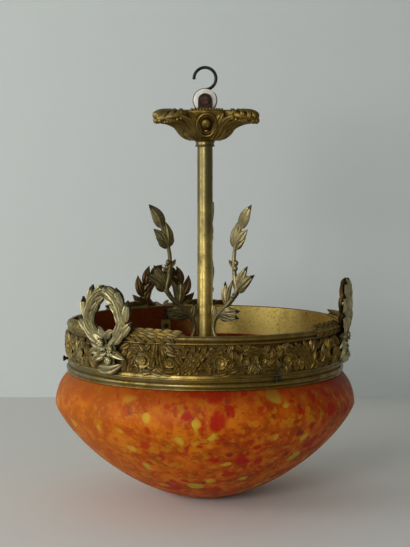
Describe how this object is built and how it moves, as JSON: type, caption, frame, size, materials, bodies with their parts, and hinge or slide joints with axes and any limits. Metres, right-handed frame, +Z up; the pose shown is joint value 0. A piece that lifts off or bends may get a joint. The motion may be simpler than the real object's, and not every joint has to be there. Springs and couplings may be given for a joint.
{
  "type": "pendant lamp",
  "caption": "Hanging lamp: a mottled glass bowl in a cast laurel-wreath gallery ring, on a spider, brass tube, ceiling cup and porcelain reel hook.",
  "frame": {"origin": "the hook's bearing point: the inside top of its bow, where the ceiling hook carries the lamp", "axes": "+Z up along the tube, -Y towards the front of the picture, +X to its right"},
  "size_m": [0.3506, 0.3506, 0.5029],
  "materials": {
    "gilt_bronze": "aged gilding, dull, with green-brown patina in the hollows",
    "pale_brass": "worn lacquer, satin",
    "dark_steel": "darkened, dull",
    "copper_brown": "brown oxide, dull",
    "porcelain": "glazed, glossy",
    "mottled_glass": "cased art glass, orange and red mottles, satin outside",
    "clear_glass": "clear, glossy",
    "nickel": "nickel, satin"
  },
  "bodies": {
    "hook": {"suspension_hook": "dark_steel", "porcelain_reel": "porcelain"},
    "lamp": {"reel_stirrup": "copper_brown", "reel_bolt": "copper_brown", "reel_bolt_nut": "copper_brown", "upper_nipple": "pale_brass", "upper_lock_nut": "pale_brass", "tube_bush": "pale_brass", "stem_tube": "pale_brass", "hub": "gilt_bronze", "lower_nipple": "pale_brass", "arm_clamp_plate": "gilt_bronze", "lower_lock_nut": "pale_brass", "gallery_rim": "gilt_bronze", "gallery_frieze": "gilt_bronze", "gallery_base": "gilt_bronze", "spider_arm_1": "gilt_bronze", "wreath_1": "gilt_bronze", "wreath_screw_upper_1": "dark_steel", "wreath_screw_lower_1": "dark_steel", "laurel_sprig_1": "gilt_bronze", "sprig_screw_1": "dark_steel", "thumb_screw_boss_1": "pale_brass", "spider_arm_2": "gilt_bronze", "wreath_2": "gilt_bronze", "wreath_screw_upper_2": "dark_steel", "wreath_screw_lower_2": "dark_steel", "laurel_sprig_2": "gilt_bronze", "sprig_screw_2": "dark_steel", "thumb_screw_boss_2": "pale_brass", "spider_arm_3": "gilt_bronze", "wreath_3": "gilt_bronze", "wreath_screw_upper_3": "dark_steel", "wreath_screw_lower_3": "dark_steel", "laurel_sprig_3": "gilt_bronze", "sprig_screw_3": "dark_steel", "thumb_screw_boss_3": "pale_brass", "glass_bowl": "mottled_glass", "lampholder_cap": "pale_brass", "lampholder_shell": "pale_brass", "lampholder_ring": "pale_brass", "lampholder_insert": "porcelain"},
    "cup": {"ceiling_cup": "gilt_bronze", "cup_collar": "pale_brass", "cup_set_screw": "dark_steel"},
    "plunger_left_body": {"plunger_left": "pale_brass"},
    "plunger_right_body": {"plunger_right": "pale_brass"},
    "bulb": {"bulb_cap": "nickel", "bulb_glass": "clear_glass", "filament_mount": "nickel"},
    "thumb_screw_1_body": {"thumb_screw_1": "dark_steel"},
    "thumb_screw_2_body": {"thumb_screw_2": "dark_steel"},
    "thumb_screw_3_body": {"thumb_screw_3": "dark_steel"}
  },
  "joints": [
    {"name": "lamp_swing", "type": "hinge", "parent": "hook", "child": "lamp", "pos_m": [0, 0, -0.03605], "axis": [0, 1, 0], "range_deg": [-45, 45]},
    {"name": "cup_slide", "type": "slide", "parent": "lamp", "child": "cup", "axis": [0, 0, 1], "range_m": [-0.085, 0]},
    {"name": "thumb_screw_1_travel", "type": "slide", "parent": "lamp", "child": "thumb_screw_1_body", "axis": [0.4695, -0.8829, 0], "range_m": [0, 0.0055]},
    {"name": "thumb_screw_2_travel", "type": "slide", "parent": "lamp", "child": "thumb_screw_2_body", "axis": [0.5299, 0.848, 0], "range_m": [0, 0.0055]},
    {"name": "thumb_screw_3_travel", "type": "slide", "parent": "lamp", "child": "thumb_screw_3_body", "axis": [-0.9994, 0.0349, 0], "range_m": [0, 0.0055]},
    {"name": "bulb_twist", "type": "hinge", "parent": "lamp", "child": "bulb", "pos_m": [0, 0, -0.3625], "axis": [0, 0, 1], "range_deg": [0, 15]},
    {"name": "plunger_left_press", "type": "slide", "parent": "lamp", "child": "plunger_left_body", "axis": [0, 0, 1], "range_m": [0, 0.0015], "stiffness_N_per_m": 400},
    {"name": "plunger_right_press", "type": "slide", "parent": "lamp", "child": "plunger_right_body", "axis": [0, 0, 1], "range_m": [0, 0.0015], "stiffness_N_per_m": 400}
  ]
}
